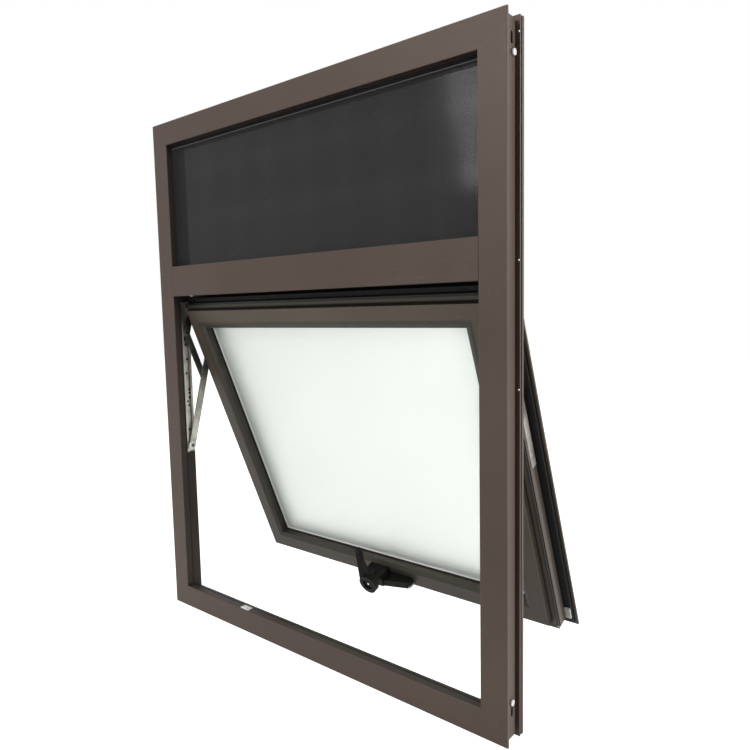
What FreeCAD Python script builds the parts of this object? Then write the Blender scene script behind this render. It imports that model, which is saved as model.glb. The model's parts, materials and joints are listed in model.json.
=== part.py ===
"""Top hung awning window in bronze aluminium: fixed screened light above, opening sash below.

The frame stands with +Z up, its room face towards -Y and the outdoors towards +Y. Every moving
piece is drawn where it lies with the sash shut, and its Placement carries it to the open pose.
Sections are drawn in two measures: u, from the outer edge of a member inwards across its face,
and v, from the room face outdoors through its depth.
"""
import FreeCAD, Part
import os
import Sketcher

os.makedirs("parts", exist_ok=True)
doc = FreeCAD.newDocument("awning_window")

# Driving dimensions, in millimetres and degrees
SIZES = {
    # whole frame
    "frame_width": 640, "frame_height": 800, "frame_depth": 38, "frame_face": 35,
    "transom_bottom": 525, "transom_face": 48,
    "metal_wall": 1.6, "edge_break": 0.6,
    # frame section
    "flange_thick": 3.2, "side_recess": 4, "back_lip": 4.5, "groove_width": 2.5,
    "groove_floor": 3, "middle_lip": 2.3, "channel_width": 3.7, "channel_floor": 8,
    "rebate_wall": 20, "leg_depth": 10.4,
    # fixing slots in the jambs' recessed backs
    "slot_length": 13, "slot_width": 4.5, "slot_inset": 7.5, "slot_low": 35, "slot_drop": 25.5,
    # seals
    "seal_thick": 3, "seal_gap": 0.4, "seal_width": 6, "seal_inset": 0.5,
    # sash section
    "sash_gap": 5, "sash_inset": 4.5, "lip_reach": 9.6, "lip_thick": 2, "side_groove": 2.2,
    "side_groove_floor": 1.2, "flange_gap": 5, "flange_reach": 23.5, "sash_flange": 3.5,
    "seal_channel": 7.7, "channel_bed": 2, "bead_seat": 20, "sash_face": 31,
    "foot_seal_thick": 4, "foot_seal_rim": 5,
    # glass and beads
    "glass_thick": 5, "glass_depth": 16.3, "glass_bite": 8, "back_seal": 1.2,
    "bead_flat": 4.5, "bead_drop": 3.3, "bead_depth": 12, "bead_wall": 1.3,
    # upper light
    "mesh_thick": 0.8, "mesh_bite": 6, "spacer_thick": 6.2, "spacer_width": 8,
    "upper_glass_gap": 3, "upper_bead_inset": 1.6, "upper_bead_width": 13,
    # opening gear
    "open_angle": 21.6,
    "track_back": 10.5, "cap_gap": 8, "track_spare": 30, "root_inset": 11, "track_width": 16,
    "track_height": 4.8, "track_wall": 1.5, "track_lip": 2, "track_lip_thick": 1.2,
    "track_hole_radius": 2.2, "track_hole_first": 38, "track_hole_pitch": 48,
    "arm_joint": 119, "link_length": 82, "top_link_length": 49,
    "arm_plate": 1.8, "plate_gap": 0.2, "arm_width": 12, "link_width": 11,
    "pin_radius": 2.5, "pin_play": 0.05, "boss_radius": 5, "head_radius": 4, "head_thick": 0.7,
    "shoe_length": 24, "shoe_width": 11, "shoe_neck": 7, "shoe_play": 0.3,
    "sash_bar_width": 12, "sash_bar_below": 150,
    # handle: base housing, and a lever that leans back from its hub to its tip
    "spindle_x": -6, "spindle_up": 23, "spindle_radius": 4, "spindle_dish": 2.5,
    "handle_base_low": 3, "handle_base_height": 12, "handle_base_right": 56,
    "handle_base_left": 27, "handle_head_right": 10, "handle_head_height": 21, "handle_neck": 13.5, "handle_neck_radius": 9, "handle_neck_seat": 4,
    "handle_crown": 24, "handle_crown_break": 1, "handle_toe": 13.4, "handle_toe_break": 4.4,
    "handle_corner": 4, "lever_play": 0.3, "hub_radius": 16, "hub_thick": 9, "dish_radius": 9,
    "lever_rise": 51, "lever_lean": 13, "lever_sweep": 15, "tip_radius": 5, "lever_thick": 8,
    "lever_hollow": 49, "lever_hollow_x": 39, "lever_hollow_up": 49, "lever_bevel": 2,
    "latch_inset": 1.5, "latch_radius": 2.2, "latch_depth": 11.5,
    "latch_tip": 1.5, "latch_tip_radius": 1.5,
    "keeper_x": -137, "keeper_width": 19, "keeper_depth": 9, "keeper_thick": 1.2,
    "keeper_inset": 0.8, "keeper_tongue": 2,
    # corner blocks of the sash
    "block_height": 17, "block_depth": 3, "block_reach": 7.9, "block_drop": 9,
}

sheet = doc.addObject("Spreadsheet::Sheet", "Sizes")
for row, (alias, value) in enumerate(SIZES.items(), start=1):
    sheet.set("A%d" % row, alias)
    sheet.set("B%d" % row, str(value))
    sheet.setAlias("B%d" % row, alias)
doc.recompute()


def s(name):
    """The spreadsheet's value of that name, as it is written in an expression."""
    return "Sizes." + name


# Places that several pieces share, worked out from the sheet
HALF = "(" + s("frame_width") + " / 2)"
OPEN_HALF = "(" + HALF + " - " + s("frame_face") + ")"
REBATE_HALF = "(" + HALF + " - " + s("rebate_wall") + ")"
SASH_HALF = "(" + OPEN_HALF + " - " + s("sash_gap") + ")"
SASH_LOW = "(" + s("frame_face") + " + " + s("sash_gap") + ")"
SASH_HIGH = "(" + s("transom_bottom") + " - " + s("sash_gap") + ")"
TRANSOM_TOP = "(" + s("transom_bottom") + " + " + s("transom_face") + ")"
LEG_WIDTH = "(" + s("frame_face") + " - " + s("rebate_wall") + ")"
SASH_FRONT = s("sash_inset")
SASH_WALL = "(" + SASH_HALF + " + " + s("lip_reach") + ")"
LIP_DEPTH = "(" + s("leg_depth") + " + " + s("seal_thick") + " + " + s("seal_gap") + ")"
LIP_BACK = "(" + LIP_DEPTH + " + " + s("lip_thick") + ")"
FLANGE_DEPTH = "(" + s("frame_depth") + " + " + s("flange_gap") + ")"
SASH_DEPTH = "(" + FLANGE_DEPTH + " + " + s("sash_flange") + ")"
PANE_FRONT = "(" + SASH_FRONT + " + " + s("glass_depth") + ")"
PANE_BACK = "(" + PANE_FRONT + " + " + s("glass_thick") + ")"
GLASS_BACK = "(" + PANE_BACK + " + " + s("back_seal") + ")"
SIDE_BACK = "(" + FLANGE_DEPTH + " - " + s("seal_channel") + ")"
GROOVE_END = "(" + s("frame_depth") + " - " + s("back_lip") + ")"
GROOVE_START = "(" + GROOVE_END + " - " + s("groove_width") + ")"
CHANNEL_END = "(" + GROOVE_START + " - " + s("middle_lip") + ")"
CHANNEL_START = "(" + CHANNEL_END + " - " + s("channel_width") + ")"
SLOT_LINE = "(" + CHANNEL_START + " - " + s("slot_inset") + ")"
ORIGIN_DEPTH = "(" + s("flange_thick") + " / 2)"

# Height of each end of the track, from the top of the rebate down
BOX_LOW = "(" + s("transom_bottom") + " + " + LEG_WIDTH + ")"
BOX_HIGH = "(" + TRANSOM_TOP + " - " + LEG_WIDTH + ")"
CAP_LOW = "(" + BOX_LOW + " - " + s("cap_gap") + " - " + s("track_width") + ")"
SHOE_SHUT = "(" + CAP_LOW + " - " + s("track_spare") + " - " + s("shoe_length") + " / 2)"
JOINT_SHUT = "(" + SHOE_SHUT + " - " + s("link_length") + ")"
ROOT = "(" + JOINT_SHUT + " - " + s("arm_joint") + ")"
TRACK_LOW = "(" + ROOT + " - " + s("root_inset") + ")"

# Angles and places of the stay's pivots, shut and open
ARM_ANGLE = "asin(" + s("link_length") + " / " + s("arm_joint") + " * sin(" + s("open_angle") + "))"
ARM_LENGTH = "(" + s("arm_joint") + " + " + s("top_link_length") + ")"
SASH_PIVOT_SHUT = "(" + ROOT + " + " + ARM_LENGTH + ")"
TOP_PIVOT_SHUT = "(" + SASH_PIVOT_SHUT + " + " + s("link_length") + ")"

# Planes of the stay, as distances from the window's middle: wall, track, link, arm
TRACK_TOP = "(" + REBATE_HALF + " - " + s("track_height") + ")"
LINK_OUT = "(" + TRACK_TOP + " - " + s("plate_gap") + ")"
LINK_IN = "(" + LINK_OUT + " - " + s("arm_plate") + ")"
ARM_OUT = "(" + LINK_IN + " - " + s("plate_gap") + ")"
ARM_IN = "(" + ARM_OUT + " - " + s("arm_plate") + ")"
BAR_FACE = "(" + ARM_IN + " - " + s("plate_gap") + ")"

finished = []


def value(expression):
    return float(sheet.evalExpression(expression))


def bind(item, bindings):
    for path, expression in bindings.items():
        item.setExpression(path, expression)


def finish(item, label, pose=None):
    """Name a sub-part and set it in the window: poses are about the X axis."""
    item.Label = label
    turn, base_y, base_z = pose if pose else ("0", "0", "0")
    item.Placement = FreeCAD.Placement(FreeCAD.Vector(), FreeCAD.Rotation(FreeCAD.Vector(1, 0, 0), 1))
    bind(item, {
        "Placement.Rotation.Angle": turn,
        "Placement.Base.y": base_y + " - " + ORIGIN_DEPTH,
        "Placement.Base.z": base_z,
    })
    finished.append(item)
    return item


def carried(turn, from_y, from_z, to_y, to_z):
    """A turn about X that carries the point (from_y, from_z) to (to_y, to_z)."""
    base_y = "(%s) - ((%s) * cos(%s) - (%s) * sin(%s))" % (to_y, from_y, turn, from_z, turn)
    base_z = "(%s) - ((%s) * sin(%s) + (%s) * cos(%s))" % (to_z, from_y, turn, from_z, turn)
    return turn, base_y, base_z


LINE = "(" + s("frame_depth") + " - " + s("track_back") + ")"
JOINT_Y = "(" + LINE + " + " + s("arm_joint") + " * sin(" + ARM_ANGLE + "))"
JOINT_Z = "(" + ROOT + " + " + s("arm_joint") + " * cos(" + ARM_ANGLE + "))"
PIVOT_Y = "(" + LINE + " + " + ARM_LENGTH + " * sin(" + ARM_ANGLE + "))"
PIVOT_Z = "(" + ROOT + " + " + ARM_LENGTH + " * cos(" + ARM_ANGLE + "))"
SHOE_Z = "(" + JOINT_Z + " + " + s("link_length") + " * cos(" + s("open_angle") + "))"

ARM_POSE = carried("(-" + ARM_ANGLE + ")", LINE, ROOT, LINE, ROOT)
SASH_POSE = carried(s("open_angle"), LINE, SASH_PIVOT_SHUT, PIVOT_Y, PIVOT_Z)
LINK_POSE = carried(s("open_angle"), LINE, JOINT_SHUT, JOINT_Y, JOINT_Z)
TOP_LINK_POSE = carried("(-" + ARM_ANGLE + ")", LINE, SHOE_SHUT, LINE, SHOE_Z)
SHOE_POSE = ("0", "0", SHOE_Z + " - " + SHOE_SHUT)


def plane(body, role):
    return [feature for feature in body.Origin.OriginFeatures if feature.Role == role][0]


def outline(body, name, role, loops):
    """A sketch of closed straight-sided loops, every corner tied to its two expressions."""
    sketch = body.newObject("Sketcher::SketchObject", name)
    sketch.AttachmentSupport = [(plane(body, role), "")]
    sketch.MapMode = "FlatFace"
    for loop in loops:
        corners = [FreeCAD.Vector(value(across), value(up), 0) for across, up in loop]
        first = sketch.GeometryCount
        count = len(corners)
        for index in range(count):
            line = Part.LineSegment(corners[index], corners[(index + 1) % count])
            sketch.addGeometry(line, False)
        for index in range(count):
            after = first + (index + 1) % count
            sketch.addConstraint(Sketcher.Constraint("Coincident", first + index, 2, after, 1))
        for index, (across, up) in enumerate(loop):
            for kind, expression, at, axis in (("DistanceX", across, corners[index].x, -2),
                                               ("DistanceY", up, corners[index].y, -1)):
                if expression == "0":
                    sketch.addConstraint(Sketcher.Constraint("PointOnObject", first + index, 1, axis))
                    continue
                place = sketch.addConstraint(Sketcher.Constraint(kind, -1, 1, first + index, 1, at))
                sketch.setExpression("Constraints[%d]" % place, expression)
    return sketch


def pad(body, sketch, length, midplane=True, reverse=False):
    feature = body.newObject("PartDesign::Pad", sketch.Name + "_pad")
    feature.Profile = sketch
    feature.setExpression("Length", length)
    feature.Midplane = midplane
    feature.Reversed = reverse
    return feature


def pocket(body, sketch, length):
    feature = body.newObject("PartDesign::Pocket", sketch.Name + "_cut")
    feature.Profile = sketch
    feature.setExpression("Length", length)
    feature.Midplane = True
    return feature


def minus(expression, amount):
    return expression + " - " + amount


def plus(expression, amount):
    return expression + " + " + amount


BREAK = s("edge_break")
WALL = s("metal_wall")

# Section of the outer frame: face flange, recessed back, channel, twin lips and stop leg
FRAME_SECTION = [
    [(BREAK, "0"), (minus(s("frame_face"), BREAK), "0"), (s("frame_face"), BREAK),
     (s("frame_face"), s("leg_depth")), (s("rebate_wall"), s("leg_depth")),
     (s("rebate_wall"), s("frame_depth")), ("0", s("frame_depth")), ("0", GROOVE_END),
     (s("groove_floor"), GROOVE_END), (s("groove_floor"), GROOVE_START),
     ("0", GROOVE_START), ("0", CHANNEL_END), (s("channel_floor"), CHANNEL_END),
     (s("channel_floor"), CHANNEL_START), (s("side_recess"), CHANNEL_START),
     (s("side_recess"), s("flange_thick")), ("0", s("flange_thick")), ("0", BREAK)],
    [(plus(s("side_recess"), WALL), WALL), (minus(s("rebate_wall"), WALL), WALL),
     (minus(s("rebate_wall"), WALL), minus(CHANNEL_START, WALL)),
     (plus(s("side_recess"), WALL), minus(CHANNEL_START, WALL))],
    [(s("rebate_wall"), WALL), (minus(s("frame_face"), WALL), WALL),
     (minus(s("frame_face"), WALL), minus(s("leg_depth"), WALL)),
     (s("rebate_wall"), minus(s("leg_depth"), WALL))],
    [(plus(s("channel_floor"), WALL), CHANNEL_START),
     (minus(s("rebate_wall"), WALL), CHANNEL_START),
     (minus(s("rebate_wall"), WALL), minus(s("frame_depth"), WALL)),
     (plus(s("channel_floor"), WALL), minus(s("frame_depth"), WALL))],
]

# Section of the sash: room face, stop lip, side wall, seal channel, outer flange and glazing leg
SIDE_U = "-" + s("lip_reach")
SIDE_FLOOR = SIDE_U + " + " + s("side_groove_floor")
SASH_SECTION = [
    [(BREAK, SASH_FRONT), (s("bead_seat"), SASH_FRONT), (s("bead_seat"), GLASS_BACK),
     (s("sash_face"), GLASS_BACK), (s("sash_face"), minus(SASH_DEPTH, BREAK)),
     (minus(s("sash_face"), BREAK), SASH_DEPTH),
     ("-" + s("flange_reach") + " + " + BREAK, SASH_DEPTH),
     ("-" + s("flange_reach"), minus(SASH_DEPTH, BREAK)), ("-" + s("flange_reach"), FLANGE_DEPTH),
     ("-" + s("channel_bed"), FLANGE_DEPTH), ("-" + s("channel_bed"), SIDE_BACK),
     (SIDE_U, SIDE_BACK), (SIDE_U, plus(LIP_BACK, s("side_groove"))),
     (SIDE_FLOOR, plus(LIP_BACK, s("side_groove"))), (SIDE_FLOOR, LIP_BACK), (SIDE_U, LIP_BACK),
     (SIDE_U, LIP_DEPTH), ("0", LIP_DEPTH), ("0", plus(SASH_FRONT, BREAK))],
    [(plus(SIDE_FLOOR, WALL), plus(LIP_DEPTH, WALL)), ("0", plus(LIP_DEPTH, WALL)),
     ("0", minus(SIDE_BACK, WALL)), (plus(SIDE_FLOOR, WALL), minus(SIDE_BACK, WALL))],
    [(WALL, plus(SASH_FRONT, WALL)), (minus(s("bead_seat"), WALL), plus(SASH_FRONT, WALL)),
     (minus(s("bead_seat"), WALL), minus(GLASS_BACK, WALL)), (WALL, minus(GLASS_BACK, WALL))],
    [(WALL, plus(GLASS_BACK, WALL)), (minus(s("sash_face"), WALL), plus(GLASS_BACK, WALL)),
     (minus(s("sash_face"), WALL), minus(SASH_DEPTH, WALL)), (WALL, minus(SASH_DEPTH, WALL))],
]

# Section of the clip-in bead on the room side of the sash glass
SEAT = s("bead_seat")
CREST = plus(s("bead_seat"), s("bead_flat"))
SLOPE = plus(SASH_FRONT, s("bead_drop"))
BEAD_BACK = "(" + SASH_FRONT + " + " + s("bead_depth") + ")"
SASH_BEAD_SECTION = [
    [(SEAT, SASH_FRONT), (CREST, SASH_FRONT), (s("sash_face"), SLOPE),
     (s("sash_face"), BEAD_BACK), (SEAT, BEAD_BACK)],
    [(plus(SEAT, s("bead_wall")), plus(SASH_FRONT, s("bead_wall"))),
     (CREST, plus(SASH_FRONT, s("bead_wall"))),
     (minus(s("sash_face"), s("bead_wall")), plus(SLOPE, s("bead_wall"))),
     (minus(s("sash_face"), s("bead_wall")), minus(BEAD_BACK, s("bead_wall"))),
     (plus(SEAT, s("bead_wall")), minus(BEAD_BACK, s("bead_wall")))],
]

# Section of the outside beads that hold the upper glass
UPPER_BEAD_BACK = s("leg_depth") + " + " + s("mesh_thick") + " + " + s("spacer_thick") \
    + " + " + s("glass_thick")
UPPER_BEAD_END = minus(s("frame_depth"), s("upper_bead_inset"))
UPPER_BEAD_SECTION = [
    [(s("rebate_wall"), UPPER_BEAD_BACK),
     (plus(s("rebate_wall"), s("upper_bead_width")), UPPER_BEAD_BACK),
     (plus(s("rebate_wall"), s("upper_bead_width")), UPPER_BEAD_BACK + " + " + s("bead_drop")),
     (plus(s("rebate_wall"), s("bead_flat")), UPPER_BEAD_END),
     (s("rebate_wall"), UPPER_BEAD_END)],
]

CUT_LENGTH = "4 * " + s("frame_depth")


def run(label, section, side, low, high, left, right, corner_u, reach, pose=None, cutters=None):
    """One mitred length of a section along one side of a rectangle.

    low, high, left and right are the rectangle's edges, where u is zero. The mitres run through
    the rectangle's corners at 45 degrees, from corner_u inside them to reach outside. The cutters
    are pieces taken out of the length.
    """
    body = doc.addObject("PartDesign::Body", label + "_body")
    upright = side in ("left", "right")
    placed = {
        "left": lambda u: "(%s) + (%s)" % (left, u),
        "right": lambda u: "(%s) - (%s)" % (right, u),
        "bottom": lambda u: "(%s) + (%s)" % (low, u),
        "top": lambda u: "(%s) - (%s)" % (high, u),
    }[side]
    if upright:
        loops = [[(placed(u), v) for u, v in loop] for loop in section]
        sketch = outline(body, label + "_section", "XY_Plane", loops)
        bind(sketch, {"AttachmentOffset.Base.z": "(%s) - (%s)" % (low, reach)})
        pad(body, sketch, "(%s) - (%s) + 2 * (%s)" % (high, low, reach), midplane=False)
    else:
        loops = [[(v, placed(u)) for u, v in loop] for loop in section]
        sketch = outline(body, label + "_section", "YZ_Plane", loops)
        pad(body, sketch, "(%s) - (%s) + 2 * (%s)" % (right, left, reach))
    doc.recompute()
    corner_x = {"left": left, "right": right}
    corner_z = {"bottom": low, "top": high}
    ends = ("bottom", "top") if upright else ("left", "right")
    triangles = []
    for end in ends:
        x_side = side if upright else end
        z_side = end if upright else side
        x_sign = "" if x_side == "left" else "-"
        z_sign = "" if z_side == "bottom" else "-"
        far = "(%s + 1)" % corner_u
        near = "(%s + 1)" % reach

        def at(along_x, along_z):
            return ("(%s) + %s(%s)" % (corner_x[x_side], x_sign, along_x),
                    "(%s) + %s(%s)" % (corner_z[z_side], z_sign, along_z))
        outer = at("-" + near, "-" + near)
        inner = at(far, far)
        third = at(far, "-" + near) if upright else at("-" + near, far)
        triangles.append([outer, inner, third])
    mitre = outline(body, label + "_mitre", "XZ_Plane", triangles)
    pocket(body, mitre, CUT_LENGTH)
    doc.recompute()
    piece = cut(label + "_item", body, fuse(label + "_cutters", cutters)) if cutters else body
    return finish(piece, label, pose)


def box(name, x, dx, y, dy, z, dz):
    item = doc.addObject("Part::Box", name)
    bind(item, {"Length": dx, "Width": dy, "Height": dz, "Placement.Base.x": x,
                "Placement.Base.y": y, "Placement.Base.z": z})
    return item


def rod(name, x, length, y, z, radius):
    """A cylinder along X."""
    item = doc.addObject("Part::Cylinder", name)
    item.Placement = FreeCAD.Placement(FreeCAD.Vector(), FreeCAD.Rotation(FreeCAD.Vector(0, 1, 0), 90))
    bind(item, {"Radius": radius, "Height": length, "Placement.Base.x": x,
                "Placement.Base.y": y, "Placement.Base.z": z})
    return item


def peg(name, x, y, length, z, radius):
    """A cylinder along Y."""
    item = doc.addObject("Part::Cylinder", name)
    item.Placement = FreeCAD.Placement(FreeCAD.Vector(), FreeCAD.Rotation(FreeCAD.Vector(1, 0, 0), -90))
    bind(item, {"Radius": radius, "Height": length, "Placement.Base.x": x,
                "Placement.Base.y": y, "Placement.Base.z": z})
    return item


def fuse(name, items):
    item = doc.addObject("Part::MultiFuse", name)
    item.Shapes = items
    return item


def cut(name, base, tool):
    item = doc.addObject("Part::Cut", name)
    item.Base = base
    item.Tool = tool
    return item


def rectangle(left, right, low, high):
    return [(left, low), (right, low), (right, high), (left, high)]


def sheet_piece(label, loops, front, thick, pose=None):
    """A flat piece that stands parallel to the room face, from front outdoors by its thickness."""
    body = doc.addObject("PartDesign::Body", label + "_body")
    sketch = outline(body, label + "_outline", "XZ_Plane", loops)
    bind(sketch, {"AttachmentOffset.Base.z": "-(%s)" % front})
    pad(body, sketch, thick, midplane=False, reverse=True)
    doc.recompute()
    return finish(body, label, pose)


def pane(label, half, low, high, front, thick, pose=None):
    return sheet_piece(label, [rectangle("-(%s)" % half, half, low, high)], front, thick, pose)


def ring(label, half, low, high, width, front, thick, pose=None):
    """A rectangular ring: its outer half width, bottom and top, and the width of its bars."""
    inner = "(%s) - (%s)" % (half, width)
    loops = [rectangle("-(%s)" % half, half, low, high),
             rectangle("-(%s)" % inner, inner, "(%s) + (%s)" % (low, width),
                       "(%s) - (%s)" % (high, width))]
    return sheet_piece(label, loops, front, thick, pose)


def span(side, near, far):
    """Start and length along X of what lies from near to far off the middle, on that side."""
    start = near if side == "right" else "-(%s)" % far
    return start, "(%s) - (%s)" % (far, near)


def fixing_slots(side):
    """Two upright slots with round ends through the back of a jamb."""
    through = span(side, "%s - %s - 2 * %s" % (HALF, s("side_recess"), WALL),
                   "%s - %s + %s" % (HALF, s("side_recess"), WALL))
    straight = s("slot_length") + " - " + s("slot_width")
    pieces = []
    for end, middle in (("low", s("slot_low")), ("high", minus(s("frame_height"), s("slot_drop")))):
        name = "%s_slot_%s" % (side, end)
        pieces.append(box(name, *through, SLOT_LINE + " - " + s("slot_width") + " / 2",
                          s("slot_width"), "%s - (%s) / 2" % (middle, straight), straight))
        for tip, sign in (("foot", "-"), ("top", "+")):
            pieces.append(rod(name + "_" + tip, *through, SLOT_LINE,
                              "%s %s (%s) / 2" % (middle, sign, straight), s("slot_width") + " / 2"))
    return pieces


# Frame: four mitred lengths and the transom between the jambs
for side, name in (("left", "frame_left_jamb"), ("right", "frame_right_jamb"),
                   ("bottom", "frame_sill"), ("top", "frame_head")):
    run(name, FRAME_SECTION, side, "0", s("frame_height"), "-" + HALF, HALF, s("frame_face"), "0",
        cutters=fixing_slots(side) if side in ("left", "right") else None)

transom_body = doc.addObject("PartDesign::Body", "transom_body")
transom_section = outline(transom_body, "transom_section", "YZ_Plane", [
    [("0", plus(s("transom_bottom"), BREAK)), (BREAK, s("transom_bottom")),
     (s("leg_depth"), s("transom_bottom")), (s("leg_depth"), BOX_LOW),
     (s("frame_depth"), BOX_LOW), (s("frame_depth"), BOX_HIGH), (s("leg_depth"), BOX_HIGH),
     (s("leg_depth"), TRANSOM_TOP), (BREAK, TRANSOM_TOP), ("0", minus(TRANSOM_TOP, BREAK))],
    [(WALL, plus(BOX_LOW, WALL)), (WALL, minus(BOX_HIGH, WALL)),
     (minus(s("frame_depth"), WALL), minus(BOX_HIGH, WALL)),
     (minus(s("frame_depth"), WALL), plus(BOX_LOW, WALL))],
])
pad(transom_body, transom_section, "2 * " + REBATE_HALF)
doc.recompute()
transom_ends = outline(transom_body, "transom_ends", "XY_Plane", [
    [(sign + OPEN_HALF, "-1"), (sign + "(" + HALF + ")", "-1"),
     (sign + "(" + HALF + ")", s("leg_depth")), (sign + OPEN_HALF, s("leg_depth"))]
    for sign in ("-", "")])
pocket(transom_body, transom_ends, "4 * " + s("frame_height"))
doc.recompute()
finish(transom_body, "frame_transom")

SEAL_REACH = "(" + s("seal_inset") + " + " + s("seal_width") + ")"
ring("frame_seal", plus(OPEN_HALF, SEAL_REACH), minus(s("frame_face"), SEAL_REACH),
     plus(s("transom_bottom"), SEAL_REACH), s("seal_width"), s("leg_depth"), s("seal_thick"))

# Upper light: insect mesh, spacer, glass and four outside beads
MESH_HALF = plus(OPEN_HALF, s("mesh_bite"))
MESH_LOW = minus(TRANSOM_TOP, s("mesh_bite"))
MESH_HIGH = s("frame_height") + " - " + s("frame_face") + " + " + s("mesh_bite")
SPACER_FRONT = s("leg_depth") + " + " + s("mesh_thick")
UPPER_GLASS_FRONT = SPACER_FRONT + " + " + s("spacer_thick")
UPPER_LOW = BOX_HIGH
UPPER_HIGH = minus(s("frame_height"), s("rebate_wall"))
pane("upper_mesh", MESH_HALF, MESH_LOW, MESH_HIGH, s("leg_depth"), s("mesh_thick"))
ring("upper_spacer", minus(REBATE_HALF, s("upper_glass_gap")),
     "%s + %s" % (UPPER_LOW, s("upper_glass_gap")), "%s - %s" % (UPPER_HIGH, s("upper_glass_gap")),
     s("spacer_width"), SPACER_FRONT, s("spacer_thick"))
pane("upper_glass", minus(REBATE_HALF, s("upper_glass_gap")),
     "%s + %s" % (UPPER_LOW, s("upper_glass_gap")), "%s - %s" % (UPPER_HIGH, s("upper_glass_gap")),
     UPPER_GLASS_FRONT, s("glass_thick"))
for side, name in (("left", "upper_bead_left"), ("right", "upper_bead_right"),
                   ("bottom", "upper_bead_bottom"), ("top", "upper_bead_top")):
    run(name, UPPER_BEAD_SECTION, side, minus("(" + UPPER_LOW + ")", s("rebate_wall")),
        s("frame_height"), "-" + HALF, HALF, s("rebate_wall") + " + " + s("upper_bead_width"), "0")

# Sash: four mitred lengths, four beads, glass and seals
SASH_EDGES = (SASH_LOW, SASH_HIGH, "-" + SASH_HALF, SASH_HALF)
for side, name in (("left", "left_stile"), ("right", "right_stile"),
                   ("bottom", "bottom_rail"), ("top", "top_rail")):
    run("sash_" + name, SASH_SECTION, side, *SASH_EDGES, s("sash_face"), s("flange_reach"),
        pose=SASH_POSE)
for side in ("left", "right", "bottom", "top"):
    run("sash_bead_" + side, SASH_BEAD_SECTION, side, *SASH_EDGES, s("sash_face"), "0",
        pose=SASH_POSE)

PANE_HALF = "(%s - %s + %s)" % (SASH_HALF, s("sash_face"), s("glass_bite"))
PANE_LOW = "(%s + %s - %s)" % (SASH_LOW, s("sash_face"), s("glass_bite"))
PANE_HIGH = "(%s - %s + %s)" % (SASH_HIGH, s("sash_face"), s("glass_bite"))
pane("sash_glass", PANE_HALF, PANE_LOW, PANE_HIGH, PANE_FRONT, s("glass_thick"), SASH_POSE)
ring("sash_glass_seal_inner", PANE_HALF, PANE_LOW, PANE_HIGH, s("glass_bite"), BEAD_BACK,
     s("glass_depth") + " - " + s("bead_depth"), SASH_POSE)
ring("sash_glass_seal_outer", PANE_HALF, PANE_LOW, PANE_HIGH, s("glass_bite"), PANE_BACK,
     s("back_seal"), SASH_POSE)
FOOT_SEAL_REACH = "(" + s("flange_reach") + " - " + s("foot_seal_rim") + ")"
ring("sash_foot_seal", plus(SASH_HALF, FOOT_SEAL_REACH),
     minus(SASH_LOW, FOOT_SEAL_REACH), plus(SASH_HIGH, FOOT_SEAL_REACH),
     minus(FOOT_SEAL_REACH, s("channel_bed")), minus(FLANGE_DEPTH, s("foot_seal_thick")),
     s("foot_seal_thick"), SASH_POSE)


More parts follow.
